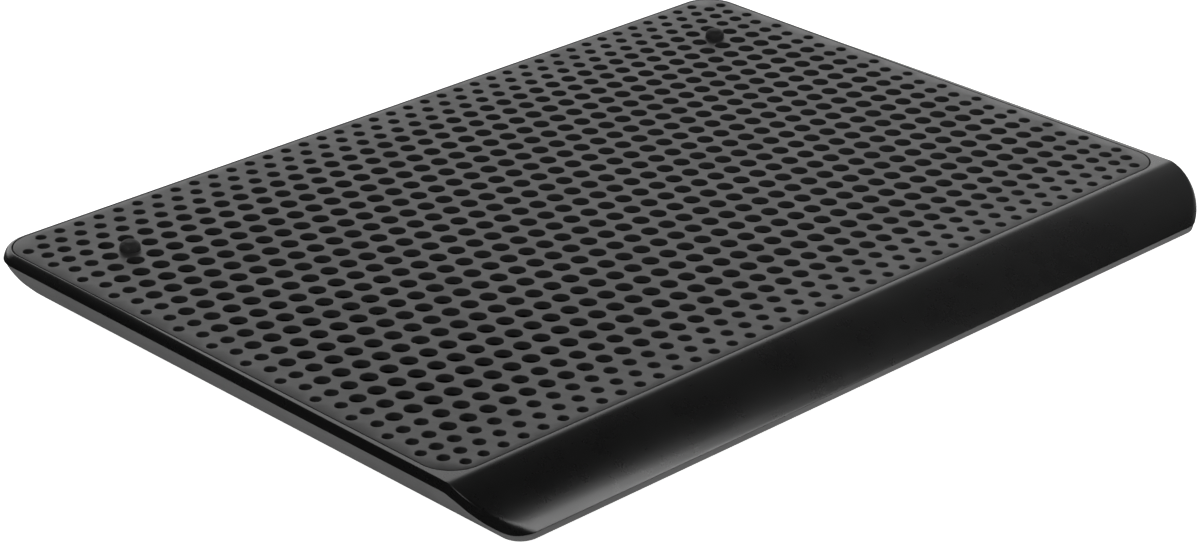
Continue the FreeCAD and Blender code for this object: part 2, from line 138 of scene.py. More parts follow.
# materials
def newMaterial(name):
    material = bpy.data.materials.new(name)
    material.use_nodes = True
    tree = material.node_tree
    shader = tree.nodes["Principled BSDF"]
    coords = tree.nodes.new("ShaderNodeTexCoord")
    return material, tree, shader, coords.outputs["Object"]


def addNode(tree, kind, inputs=None, **settings):
    node = tree.nodes.new(kind)
    for key, value in settings.items():
        setattr(node, key, value)
    for key, value in (inputs or {}).items():
        if isinstance(value, bpy.types.NodeSocket):
            tree.links.new(value, node.inputs[key])
        else:
            node.inputs[key].default_value = value
    return node


def noise(tree, where, scale, detail=3.0, roughness=0.55):
    return addNode(tree, "ShaderNodeTexNoise",
                   {"Vector": where, "Scale": scale, "Detail": detail,
                    "Roughness": roughness}).outputs["Fac"]


def ramp(tree, value, stops):
    # A colour ramp from a list of (position, grey or colour).
    node = addNode(tree, "ShaderNodeValToRGB", {"Fac": value})
    node.color_ramp.elements.remove(node.color_ramp.elements[1])
    for i, (position, colour) in enumerate(stops):
        colour = (colour,) * 3 if isinstance(colour, float) else colour
        element = node.color_ramp.elements[0] if i == 0 else node.color_ramp.elements.new(position)
        element.position = position
        element.color = (*colour, 1.0)
    return node.outputs["Color"]


def mixColours(tree, share, a, b, blend="MIX"):
    node = addNode(tree, "ShaderNodeMix", data_type="RGBA", blend_type=blend)
    for socket, value in ((node.inputs[0], share), (node.inputs[6], a), (node.inputs[7], b)):
        if isinstance(value, bpy.types.NodeSocket):
            tree.links.new(value, socket)
        elif isinstance(value, tuple):
            socket.default_value = (*value, 1.0)
        else:
            socket.default_value = value
    return node.outputs[2]


def spread(tree, value, low, high):
    # Maps 0.25 to 0.75, where noise mostly lies, on to low to high, and holds it at both ends.
    return addNode(tree, "ShaderNodeMapRange",
                   {"Value": value, "From Min": 0.25, "From Max": 0.75,
                    "To Min": low, "To Max": high}).outputs["Result"]


def bumpFrom(tree, height, strength, distance, under=None):
    inputs = {"Height": height, "Strength": strength, "Distance": distance}
    if under is not None:
        inputs["Normal"] = under
    return addNode(tree, "ShaderNodeBump", inputs).outputs["Normal"]


def edgeWear(tree, low, high):
    # 0 on faces, rising to 1 on sharp outer edges.
    geometry = addNode(tree, "ShaderNodeNewGeometry")
    return addNode(tree, "ShaderNodeMapRange", {"Value": geometry.outputs["Pointiness"], "From Min": low,
                                                "From Max": high}).outputs["Result"]


mouldedFinishes = {
    # base grey, its mottling, grain size in grains per metre, grain height, roughness low and high, wear
    "deckMatte": {"dark": 0.018, "light": 0.026, "grain": 2600.0, "height": 0.00005, "strength": 0.30,
                  "rough": (0.42, 0.52), "wear": 0.05, "specular": 0.5},
    "fanPlastic": {"dark": 0.007, "light": 0.012, "grain": 1500.0, "height": 0.00003, "strength": 0.25,
                   "rough": (0.38, 0.52), "wear": 0.04, "specular": 0.45},
    "rubberMatte": {"dark": 0.014, "light": 0.024, "grain": 1700.0, "height": 0.00006, "strength": 0.45,
                    "rough": (0.62, 0.80), "wear": 0.05, "specular": 0.30},
    "leadSheath": {"dark": 0.012, "light": 0.020, "grain": 900.0, "height": 0.00003, "strength": 0.20,
                   "rough": (0.40, 0.55), "wear": 0.03, "specular": 0.40},
}


def mouldedPlastic(name):
    # Moulded plastic or rubber: mottled grey, fine spark-eroded grain, slightly worn edges.
    look = mouldedFinishes[name]
    material, tree, shader, where = newMaterial(name)
    cloud = noise(tree, where, 26.0, 4.0)
    fleck = noise(tree, where, look["grain"] * 0.5, 2.0)
    base = mixColours(tree, spread(tree, cloud, 0.15, 0.85), (look["dark"],) * 3, (look["light"],) * 3)
    flecked = mixColours(tree, spread(tree, fleck, 0.0, 0.22), base, (look["light"] * 1.45,) * 3)
    worn = mixColours(tree, edgeWear(tree, 0.52, 0.60), flecked, (look["light"] + look["wear"] * 0.25,) * 3)
    smear = noise(tree, where, 60.0, 5.0, 0.65)
    tree.links.new(worn, shader.inputs["Base Color"])
    tree.links.new(spread(tree, smear, *look["rough"]), shader.inputs["Roughness"])
    grain = noise(tree, where, look["grain"], 2.5, 0.6)
    wave = noise(tree, where, 90.0, 2.0)
    broad = bumpFrom(tree, wave, 0.08, 0.0004)
    tree.links.new(bumpFrom(tree, grain, look["strength"], look["height"], broad), shader.inputs["Normal"])
    shader.inputs["Specular IOR Level"].default_value = look["specular"]
    return material


# inside: near-black painted shade on the shell's inner faces under the deck, not the plastic's own colour
shellLook = {"grey": 0.105, "inside": 0.006, "skinZ": 3.6 * mm, "skin": 4.0 * mm, "grain": 2300.0,
             "rough": (0.50, 0.62)}


def shellMatte():
    # The base shell: matte dark grey outside and below. Inside it is near black: painted shade, so the
    #     # inner floor seen through the deck holes stays dark. A point is outside where it lies below skinZ,
    #     # or where its distance in x or y, with what the wall has run in, comes within skin of the edge.
    look, wall = shellLook, topFrameShape
    material, tree, shader, where = newMaterial("shellMatte")

    def sums(kind, a, b):
        return addNode(tree, "ShaderNodeMath", {0: a, 1: b}, operation=kind).outputs[0]

    def step(value, at, width):
        return addNode(tree, "ShaderNodeMapRange", {"Value": value, "From Min": at - width / 2,
                                                    "From Max": at + width / 2}).outputs["Result"]

    place = addNode(tree, "ShaderNodeSeparateXYZ", {0: where}).outputs
    breakZ = deckTop - wall["breakDrop"]
    fall = sums("MAXIMUM", sums("SUBTRACT", breakZ, place["Z"]), 0.0)
    curve = sums("MULTIPLY", sums("MULTIPLY", fall, fall), wall["bend"])
    runIn = sums("ADD", sums("MULTIPLY", fall, wall["lean"]), curve)
    pastX = sums("SUBTRACT", sums("ABSOLUTE", place["X"], 0.0), frameHigh.x)
    pastY = sums("SUBTRACT", sums("ABSOLUTE", place["Y"], 0.0), frameHigh.y)
    past = sums("ADD", sums("MAXIMUM", pastX, pastY), runIn)
    unshadedOutside = sums("MAXIMUM", step(past, -look["skin"], 0.2 * mm),
                   sums("SUBTRACT", 1.0, step(place["Z"], look["skinZ"], 0.2 * mm)))
    cloud = spread(tree, noise(tree, where, 26.0, 4.0), 0.92, 1.08)
    # inner faces take the near-black inside colour as painted shade; outer and lower faces keep the grey
    base = mixColours(tree, unshadedOutside, (look["inside"],) * 3, (look["grey"],) * 3)
    mottled = addNode(tree, "ShaderNodeVectorMath", {0: base, "Scale": cloud}, operation="SCALE").outputs[0]
    tree.links.new(mottled, shader.inputs["Base Color"])
    smear = noise(tree, where, 60.0, 5.0, 0.65)
    tree.links.new(spread(tree, smear, *look["rough"]), shader.inputs["Roughness"])
    grain = bumpFrom(tree, noise(tree, where, look["grain"], 2.5, 0.6), 0.25, 0.00004)
    tree.links.new(grain, shader.inputs["Normal"])
    shader.inputs["Specular IOR Level"].default_value = 0.3
    return material


glossLook = {"dark": 0.0035, "light": 0.0060, "rough": (0.25, 0.31), "flow": 14.0, "hairline": 900.0,
             "dust": 0.03}


def frameGloss():
    # Satin-gloss black moulding: soft flow marks, hairline scratches along the pad, faint dust.
    material, tree, shader, where = newMaterial("frameGloss")
    look = glossLook
    cloud = noise(tree, where, look["flow"], 4.0)
    base = mixColours(tree, cloud, (look["dark"],) * 3, (look["light"],) * 3)
    dustSeed = noise(tree, where, 1600.0, 2.0, 0.7)
    dust = ramp(tree, dustSeed, [(0.0, 0.0), (0.70, 0.0), (0.78, 1.0)])
    thin = addNode(tree, "ShaderNodeMath", {0: dust, 1: look["dust"]}, operation="MULTIPLY").outputs[0]
    dusty = mixColours(tree, thin, base, (0.18, 0.18, 0.17))
    worn = mixColours(tree, edgeWear(tree, 0.53, 0.66), dusty, (0.030, 0.030, 0.031))
    tree.links.new(worn, shader.inputs["Base Color"])
    stretch = addNode(tree, "ShaderNodeMapping", {"Vector": where, "Scale": (0.03, 1.0, 1.0)}).outputs[0]
    hair = noise(tree, stretch, look["hairline"], 3.0, 0.7)
    smear = noise(tree, where, 34.0, 5.0, 0.7)
    tree.links.new(spread(tree, smear, *look["rough"]), shader.inputs["Roughness"])
    grain = bumpFrom(tree, noise(tree, where, 3000.0, 2.0), 0.10, 0.00002)
    tree.links.new(bumpFrom(tree, hair, 0.05, 0.00003, grain), shader.inputs["Normal"])
    shader.inputs["Specular IOR Level"].default_value = 0.5
    return material


metalLooks = {
    "screwSteel": {"colour": (0.42, 0.42, 0.44), "tint": (0.50, 0.48, 0.40),
                   "rough": (0.26, 0.42), "lines": 2500.0},
    "coreSteel": {"colour": (0.26, 0.26, 0.28), "tint": (0.34, 0.33, 0.31),
                  "rough": (0.32, 0.50), "lines": 2000.0},
    "bronze": {"colour": (0.40, 0.24, 0.11), "tint": (0.52, 0.35, 0.19),
               "rough": (0.40, 0.60), "lines": 1200.0},
}


def turnedMetal(name):
    # Turned or pressed metal: fine rings across the vertical axis, patchy plating, small pits.
    look = metalLooks[name]
    material, tree, shader, where = newMaterial(name)
    patch = noise(tree, where, 320.0, 4.0)
    colour = mixColours(tree, spread(tree, patch, 0.0, 1.0), look["colour"], look["tint"])
    tree.links.new(colour, shader.inputs["Base Color"])
    shader.inputs["Metallic"].default_value = 1.0
    tree.links.new(spread(tree, noise(tree, where, 900.0, 3.0), *look["rough"]), shader.inputs["Roughness"])
    squeeze = addNode(tree, "ShaderNodeMapping", {"Vector": where, "Scale": (0.05, 0.05, 1.0)}).outputs[0]
    lines = noise(tree, squeeze, look["lines"], 2.0)
    pits = noise(tree, where, 2600.0, 2.0)
    rings = bumpFrom(tree, lines, 0.3, 0.00003)
    tree.links.new(bumpFrom(tree, pits, 0.15, 0.00002, rings), shader.inputs["Normal"])
    return material


def copperWinding():
    # Enamelled wire laid side by side: fine bands up the coil, each with its own brightness.
    material, tree, shader, where = newMaterial("copperWinding")
    wave = addNode(tree, "ShaderNodeTexWave", {"Vector": where, "Scale": 900.0, "Distortion": 1.2,
                                               "Detail": 1.0}, bands_direction="Z").outputs["Fac"]
    colour = ramp(tree, wave, [(0.0, (0.12, 0.035, 0.012)), (0.55, (0.50, 0.18, 0.07)),
                               (1.0, (0.72, 0.32, 0.14))])
    tree.links.new(colour, shader.inputs["Base Color"])
    tree.links.new(spread(tree, noise(tree, where, 1500.0), 0.22, 0.38), shader.inputs["Roughness"])
    tree.links.new(bumpFrom(tree, wave, 0.8, 0.0001), shader.inputs["Normal"])
    shader.inputs["Metallic"].default_value = 0.85
    return material


def ferriteMagnet():
    # Bonded ferrite: near-black grey with a dull sparkle of grains.
    material, tree, shader, where = newMaterial("ferriteMagnet")
    cells = addNode(tree, "ShaderNodeTexVoronoi", {"Vector": where, "Scale": 3200.0}).outputs["Distance"]
    colour = ramp(tree, cells, [(0.0, (0.060, 0.055, 0.050)), (0.6, (0.022, 0.020, 0.019))])
    tree.links.new(colour, shader.inputs["Base Color"])
    tree.links.new(spread(tree, noise(tree, where, 700.0), 0.50, 0.72), shader.inputs["Roughness"])
    tree.links.new(bumpFrom(tree, cells, 0.4, 0.00005), shader.inputs["Normal"])
    return material


def circuitBoard():
    # Green solder mask over woven glass, with raised copper tracks and small bright pads.
    material, tree, shader, where = newMaterial("circuitBoard")
    tracks = addNode(tree, "ShaderNodeTexBrick", {"Vector": where, "Scale": 160.0, "Mortar Size": 0.05,
                                                  "Brick Width": 0.9, "Row Height": 0.35},
                     offset=0.37).outputs["Fac"]
    pads = addNode(tree, "ShaderNodeTexVoronoi", {"Vector": where, "Scale": 420.0}).outputs["Distance"]
    pad = ramp(tree, pads, [(0.0, 1.0), (0.12, 1.0), (0.16, 0.0)])
    mask = mixColours(tree, tracks, (0.010, 0.085, 0.030), (0.020, 0.150, 0.055))
    tree.links.new(mixColours(tree, pad, mask, (0.62, 0.60, 0.56)), shader.inputs["Base Color"])
    tree.links.new(spread(tree, noise(tree, where, 300.0), 0.22, 0.36), shader.inputs["Roughness"])
    weave = noise(tree, where, 1800.0, 2.0)
    raisedTracks = bumpFrom(tree, tracks, 0.5, 0.00005)
    tree.links.new(bumpFrom(tree, weave, 0.1, 0.00003, raisedTracks), shader.inputs["Normal"])
    return material


def naturalNylon():
    # Uncoloured nylon: cream, slightly see-through, with soft mottling.
    material, tree, shader, where = newMaterial("naturalNylon")
    mottle = noise(tree, where, 800.0, 3.0)
    cream = mixColours(tree, mottle, (0.62, 0.60, 0.52), (0.78, 0.76, 0.68))
    tree.links.new(cream, shader.inputs["Base Color"])
    tree.links.new(spread(tree, mottle, 0.35, 0.5), shader.inputs["Roughness"])
    tree.links.new(bumpFrom(tree, mottle, 0.2, 0.00003), shader.inputs["Normal"])
    return material


finishes = {name: mouldedPlastic(name) for name in mouldedFinishes}
finishes.update({name: turnedMetal(name) for name in metalLooks})
finishes.update({"frameGloss": frameGloss(), "shellSatin": shellMatte(), "copperWinding": copperWinding(),
                 "ferriteMagnet": ferriteMagnet(), "circuitBoard": circuitBoard(),
                 "naturalNylon": naturalNylon()})
slotFinish = {"frame_gloss": "frameGloss", "deck_matte": "deckMatte", "shell_satin": "shellSatin",
              "rubber": "rubberMatte", "fan_plastic": "fanPlastic", "screw_steel": "screwSteel",
              "core_steel": "coreSteel", "winding": "copperWinding", "magnet": "ferriteMagnet",
              "bronze": "bronze", "clip_plastic": "naturalNylon", "board": "circuitBoard",
              "lead_sheath": "leadSheath"}
for part in frame["record"]["subparts"]:
    node = nodes[part["node"]]
    for place in node.material_slots:
        place.material = finishes[slotFinish[part["material_slot"]]]
print("finishes on", len(nodes), "nodes")


# top frame
def rollHeight(y, shape):
    # The top surface's height: level, then a small crease arc, then a large arc, both tangent.
    a1, a2 = math.radians(shape["creaseDeg"]), math.radians(shape["rollDeg"])
    creaseReach = shape["crease"] * math.sin(a1)
    rollReach = shape["roll"] * (math.sin(a2) - math.sin(a1))
    start = frameLow.y + creaseReach + rollReach + shape["tip"] * (1 - math.sin(a2))
    s = np.clip(start - y, 0.0, None)
    inCrease = deckTop - shape["crease"] + np.sqrt(np.clip(shape["crease"] ** 2 - s ** 2, 0.0, None))
    sine = np.clip(math.sin(a1) + (s - creaseReach) / shape["roll"], 0.0, 0.95)
    creaseDrop = shape["crease"] * (1 - math.cos(a1))
    inRoll = deckTop - creaseDrop - shape["roll"] * (math.cos(a1) - np.sqrt(1 - sine ** 2))
    return np.where(s < creaseReach, inCrease, inRoll)


def partingHeight(y, shape):
    # The parting line's height: level, an arc down, a straight fall, an arc to level again.
    a, r = math.radians(shape["partingDeg"]), shape["parting"]
    high, low = deckTop - shape["breakDrop"], frameLow.z
    y0 = deckLow.y - shape["partingStart"]
    s = np.clip(y0 - y, 0.0, None)
    firstReach, firstDrop = r * math.sin(a), r * (1 - math.cos(a))
    run = (high - low - 2 * firstDrop) / math.tan(a)
    left = np.clip(2 * firstReach + run - s, 0.0, None)
    upper = high - r + np.sqrt(np.clip(r ** 2 - s ** 2, 0.0, None))
    straight = high - firstDrop - (s - firstReach) * math.tan(a)
    lower = low + r - np.sqrt(np.clip(r ** 2 - left ** 2, 0.0, None))
    return np.where(s < firstReach, upper, np.where(left > firstReach, straight, lower))


def bodyOutline(ring, z, inset, shape):
    # The pad's outline at height z: upright above the break, running in along a parabola below it.
    breakZ = deckTop - shape["breakDrop"]
    fall = np.clip(breakZ - z, 0.0, None)
    share = fall / (breakZ - shellLow.z)
    front = shape["frontRadius"] - inset + (shape["frontRadiusLow"] - shape["frontRadius"]) * share
    rear = shape["rearRadius"] - inset + (shape["rearRadiusLow"] - shape["rearRadius"]) * share
    side = inset + shape["lean"] * fall + shape["bend"] * fall ** 2
    return outlinePoints(ring, frameHigh.x - side, frameLow.y + inset, frameHigh.y - side, front, rear)


def heightWhere(ring, inset, surface, shape):
    # The height at which the leaning wall meets a surface of y, by halving the range 40 times.
    count = len(ring[0])
    low, high = np.full(count, frameLow.z - 0.001), np.full(count, deckTop)
    for _ in range(40):
        middle = (low + high) / 2
        below = middle < surface(bodyOutline(ring, middle, inset, shape)[:, 1], shape)
        low, high = np.where(below, middle, low), np.where(below, high, middle)
    return (low + high) / 2


def raised(plan, z):
    return np.concatenate([plan, np.broadcast_to(z, (len(plan),))[:, None]], 1)


def topFrame():
    # The frame as one closed grid: round the pad by the section. The section runs up the deck
    # opening, across the top by shares of the way to the edge, round the edge on a curve between
    # the two tangents, down the wall to the parting line, and back underneath.
    shape = topFrameShape
    ring = outlineRing(shape["arcSteps"], shape["straightSteps"])
    halfDeck, r = deckHigh.x, shape["deckRadius"]

    def deckEdge(out):
        return outlinePoints(ring, halfDeck + out, deckLow.y - out, deckHigh.y + out, r + out, r + out)

    ledgeZ, windowZ = deckTop - 2.5 * mm, deckTop - shape["breakDrop"]
    gap, lip = shape["gap"], shape["lipRound"]
    window, seat, brow = deckEdge(-shape["ledge"]), deckEdge(gap), deckEdge(gap + lip)
    rows = [raised(window, windowZ), raised(window, ledgeZ), raised(seat, ledgeZ),
            raised(seat, deckTop - lip)]
    rows.append(raised(deckEdge(gap + 0.3 * lip), deckTop - 0.3 * lip))
    edgeZ = heightWhere(ring, 0.0, rollHeight, shape)
    edge = raised(bodyOutline(ring, edgeZ, 0.0, shape), edgeZ)
    partZ = heightWhere(ring, 0.0, partingHeight, shape)
    parting = raised(bodyOutline(ring, partZ, 0.0, shape), partZ)
    inward = brow - edge[:, :2]
    width = np.linalg.norm(inward, axis=1, keepdims=True)
    forward = np.clip((deckLow.y - edge[:, 1:2]) / (8 * mm), 0.0, 1.0)
    radius = shape["rimRound"] + (shape["frontRound"] - shape["rimRound"]) * forward
    startPlan = edge[:, :2] + inward / width * np.minimum(radius, width * 0.92)
    for t in np.linspace(0.0, 1.0, shape["topSteps"]) ** 1.5:
        plan = brow + (startPlan - brow) * t
        rows.append(raised(plan, rollHeight(plan[:, 1], shape)))
    start = rows[-1]
    wallDrop = np.linalg.norm(edge - parting, axis=1, keepdims=True)
    down = (parting - edge) / np.maximum(wallDrop, 1e-6)
    end = edge + down * np.minimum(radius, wallDrop * 0.97)
    knee = edge.copy()
    knee[:, :2] += inward / width * shape["rimCut"] * (1 - forward)
    for t in np.linspace(0.0, 1.0, shape["roundSteps"] + 1)[1:]:
        rows.append((1 - t) ** 2 * start + 2 * t * (1 - t) * knee + t ** 2 * end)
    for t in np.linspace(0.0, 1.0, shape["sideSteps"] + 1)[1:]:
        rows.append(end + (parting - end) * t)
    innerZ = heightWhere(ring, shape["wall"], partingHeight, shape)
    inner = bodyOutline(ring, innerZ, shape["wall"], shape)
    for t in np.linspace(0.0, 1.0, shape["underSteps"] + 1)[:-1]:
        plan = inner + (window - inner) * t
        under = np.minimum(windowZ, rollHeight(plan[:, 1], shape) - shape["wall"] * 1.1)
        rows.append(raised(plan, np.maximum(under, innerZ)))
    grid = np.stack(rows)
    faces = gridFaces(len(rows), len(ring[0]), wrapRows=True, wrapColumns=True)
    piece = makePiece("topFrameSkin", grid.reshape(-1, 3), faces, "case", finishes["frameGloss"],
                      40)
    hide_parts("top_frame")
    return piece


topFrame()
print("top frame made")


# perforated deck
deckShape = {
    "pitch": 9.0 * mm, "rowPitch": 9.15 * mm, "lastColumn": 20.5, "lastRow": 13.5,
    "squeezeColumn": 0.06, "columnFrom": 18.0, "squeezeRow": 0.0283, "rowFrom": 8.5,
    "sizes": [6.6 * mm, 6.15 * mm, 5.15 * mm, 4.7 * mm, 4.15 * mm],   # hole diameters by grade
    "thick": 2.5 * mm, "corner": 12.8 * mm, "holeRound": 0.22 * mm, "edgeRound": 0.06 * mm,
    "groove": 0.25 * mm,
    "stopColumn": 17, "stopRow": 9.5,
    "pinColumns": (-17, -11, -4, 4, 10, 17), "pinRows": (-10.5, -4.5, -0.5, 3.5, 9.5),
    "pinShift": (0.5, 0.45), "pinRadius": 2.1 * mm, "pinDepth": 2.5 * mm,
    "segmentsLarge": 22, "segmentsSmall": 16,
}


def holeTable(shape):
    # Centres and diameters. The pattern closes up towards the edges: past a given column or row,
    # the distance loses a share of the square of the excess.
    rowNumber = np.arange(int(2 * shape["lastRow"]) + 1)
    columnStep = np.arange(int(2 * shape["lastColumn"]) + 1)
    row, step = np.meshgrid(rowNumber, columnStep, indexing="ij")
    first = np.where(row % 2 == 0, shape["lastColumn"], shape["lastColumn"] - 0.5)
    column, row = step - first, row - shape["lastRow"]
    absColumn, absRow = np.abs(column), np.abs(row)
    pastColumn = np.clip(absColumn - shape["columnFrom"], 0, None)
    pastRow = np.clip(absRow - shape["rowFrom"], 0, None)
    x = shape["pitch"] * (absColumn - shape["squeezeColumn"] * pastColumn ** 2)
    y = shape["rowPitch"] * (absRow - shape["squeezeRow"] * pastRow ** 2)
    stepsX = np.round(2 * (shape["lastColumn"] - absColumn)).astype(int)
    stepsY = np.round(shape["lastRow"] - absRow).astype(int)
    grades = np.array([4, 3, 2, 1, 1, 0])
    gradeX, gradeY = grades[np.clip(stepsX, 0, 5)], grades[np.clip(stepsY, 0, 5)]
    grade = np.maximum(gradeX, gradeY) + ((gradeX == 1) & (gradeY == 1))
    keep = (absColumn <= first) & ~((stepsX < 2) & (stepsY < 1))
    centres = np.stack([np.copysign(x, column), deckMidY + np.copysign(y, row)], -1)[keep]
    return centres, np.array(shape["sizes"])[grade][keep]


def circlePoints(centres, radii, count):
    # A circle of count points round each centre.
    angle = np.linspace(0.0, 2 * math.pi, count, endpoint=False)
    unit = np.stack([np.cos(angle), np.sin(angle)], -1)
    return centres[:, None, :] + radii[:, None, None] * unit[None]


def deckSheet(outer, loops, z):
    # A flat sheet at height z inside outer, open at each loop: triangles between all corners,
    # without those whose three corners belong to one loop.
    plan = np.concatenate([outer] + [loop.reshape(-1, 2) for loop in loops])
    owner = [np.full(len(outer), -1)]
    edges = [np.stack([np.arange(len(outer)), (np.arange(len(outer)) + 1) % len(outer)], -1)]
    first, made = len(outer), 0
    for loop in loops:
        number, count = loop.shape[:2]
        index = first + np.arange(number * count).reshape(number, count)
        edges.append(np.stack([index, np.roll(index, -1, axis=1)], -1).reshape(-1, 2))
        owner.append(np.repeat(made + np.arange(number), count))
        first, made = first + number * count, made + number
    owner = np.concatenate(owner)
    flat = (plan - plan.mean(0)) / mm
    found = delaunay_2d_cdt(flat.tolist(), np.concatenate(edges).tolist(), [], 0, 1e-6, False)
    triangles = np.array(found[2])
    owners = owner[triangles]
    inside = (owners[:, 0] >= 0) & (owners[:, 0] == owners[:, 1]) & (owners[:, 1] == owners[:, 2])
    triangles = triangles[~inside]
    a, b, c = (flat[triangles[:, i]] for i in range(3))
    turn = np.cross(b - a, c - a)
    triangles[turn < 0] = triangles[turn < 0][:, ::-1]
    return raised(plan, z), triangles, len(found[0])


def perforatedDeck():
    # The deck: a sheet on top and one below, both open at the holes. Each hole's wall is rings of
    # points: the top edge rounded by a small step, then straight down. The outer edge is the same.
    shape = deckShape
    centres, sizes = holeTable(shape)
    small = sizes < shape["sizes"][0]
    groups = [(centres[~small], sizes[~small], shape["segmentsLarge"]),
              (centres[small], sizes[small], shape["segmentsSmall"])]
    ring = outlineRing(12, 24)
    r, e = shape["corner"], shape["edgeRound"]

    def outerEdge(inset):
        inset = inset + shape["groove"]
        return outlinePoints(ring, deckHigh.x - inset, deckLow.y + inset, deckHigh.y - inset,
                             r - inset, r - inset)

    lowZ = deckTop - shape["thick"]
    bevel = shape["holeRound"]
    topLoops = [circlePoints(c, d / 2 + bevel, n) for c, d, n in groups]
    lowLoops = [circlePoints(c, d / 2, n) for c, d, n in groups]
    verts, faces = [], []
    total = 0
    sheets = []
    sides = ((outerEdge(e), topLoops, deckTop, False), (outerEdge(0.0), lowLoops, lowZ, True))
    for outer, loops, z, flip in sides:
        points, triangles, foundCount = deckSheet(outer, loops, z)
        if foundCount != len(points):
            raise SystemExit("the deck's holes touch each other")
        triangles = triangles[:, ::-1] if flip else triangles
        verts.append(points)
        faces += (triangles + total).tolist()
        sheets.append(total)
        total += len(points)
    outerCount = len(ring[0])
    previous = sheets[0] + np.arange(outerCount)
    for out, z in ((0.3, deckTop - 0.3 * e), (0.0, deckTop - e)):
        verts.append(raised(outerEdge(out * e), z))
        current = total + np.arange(outerCount)
        faces += np.stack([previous, current, np.roll(current, -1), np.roll(previous, -1)], -1).tolist()
        previous, total = current, total + outerCount
    current = sheets[1] + np.arange(outerCount)
    faces += np.stack([previous, current, np.roll(current, -1), np.roll(previous, -1)], -1).tolist()
    firstTop, firstLow = sheets[0] + outerCount, sheets[1] + outerCount
    for c, d, n in groups:
        number = len(c)
        waist = circlePoints(c, d / 2, n)
        verts.append(raised(waist.reshape(-1, 2), deckTop - bevel))
        top = firstTop + np.arange(number * n).reshape(number, n)
        middle = total + np.arange(number * n).reshape(number, n)
        low = firstLow + np.arange(number * n).reshape(number, n)
        for upper, lower in ((top, middle), (middle, low)):
            quads = np.stack([upper, np.roll(upper, -1, 1), np.roll(lower, -1, 1), lower], -1)
            faces += quads.reshape(-1, 4).tolist()
        firstTop, firstLow, total = firstTop + number * n, firstLow + number * n, total + number * n
    piece = makePiece("perforatedDeck", np.concatenate(verts), faces, "case", finishes["deckMatte"],
                      40)
    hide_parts("mesh_panel")
    return piece


def deckPins():
    # Short pins under the deck, in the web beside the holes: rings of points down each pin, closed
    # by a small disc.
    shape = deckShape
    column, row = np.meshgrid(np.array(shape["pinColumns"]), np.array(shape["pinRows"]), indexing="ij")
    column, row = column.ravel(), row.ravel()
    keep = ~((np.abs(column) == shape["stopColumn"]) & (row == shape["stopRow"]))
    column, row = column[keep], row[keep]
    centres = np.stack([(column + shape["pinShift"][0]) * shape["pitch"],
                        deckMidY + (row + shape["pinShift"][1]) * shape["rowPitch"]], -1)
    top = deckTop - shape["thick"] + 0.05 * mm
    low = deckTop - shape["thick"] - shape["pinDepth"]
    r = shape["pinRadius"]
    levels = [(r * 0.05, top), (r, top), (r, low + 0.3 * mm), (r - 0.3 * mm, low), (r * 0.05, low)]
    count = 20
    rings = [raised(circlePoints(centres, np.full(len(centres), size), count).reshape(-1, 2), z)
             for size, z in levels]
    stack = np.stack(rings).reshape(len(levels), len(centres), count, 3)
    stack = stack.transpose(1, 0, 2, 3)
    faces = []
    size = len(levels) * count
    for k in range(len(centres)):
        quads = gridFaces(len(levels), count, wrapColumns=True, first=k * size)
        caps = [list(range(k * size, k * size + count)),
                list(range((k + 1) * size - 1, (k + 1) * size - count - 1, -1))]
        faces += [quad[::-1] for quad in quads] + caps
    return makePiece("deckPins", stack.reshape(-1, 3), faces, "case", finishes["deckMatte"])


perforatedDeck()
deckPins()
print("deck made")


# floor, camera and lights
view = {"heading": 44.63, "down": 25.3, "roll": 0.55, "aim": (-42.5 * mm, -44.6 * mm), "distance": 1.299,
        "lens": 108.4}


def setCamera():
    # The camera looks from the front left, down at a point of the deck, turned slightly about its axis.
    h, e = math.radians(view["heading"]), math.radians(view["down"])
    forward = Vector((math.sin(h) * math.cos(e), math.cos(h) * math.cos(e), -math.sin(e)))
    target = Vector((view["aim"][0], deckMidY + view["aim"][1], deckTop))
    data = bpy.data.cameras.new("camera")
    data.lens = view["lens"]
    data.sensor_width = 36.0
    data.clip_start = 0.05
    camera = bpy.data.objects.new("camera", data)
    bpy.context.scene.collection.objects.link(camera)
    camera.location = target - forward * view["distance"]
    turned = forward.to_track_quat("-Z", "Y").to_matrix().to_4x4()
    level = Vector((0, 0, 1))
    right = forward.cross(level).normalized()
    up = right.cross(forward)
    roll = math.radians(view["roll"])
    rightTurned = right * math.cos(roll) + up * math.sin(roll)
    upTurned = rightTurned.cross(forward)
    for axis, vector in enumerate((rightTurned, upTurned, -forward)):
        for i in range(3):
            turned[i][axis] = vector[i]
    camera.rotation_euler = turned.to_euler()
    bpy.context.scene.camera = camera


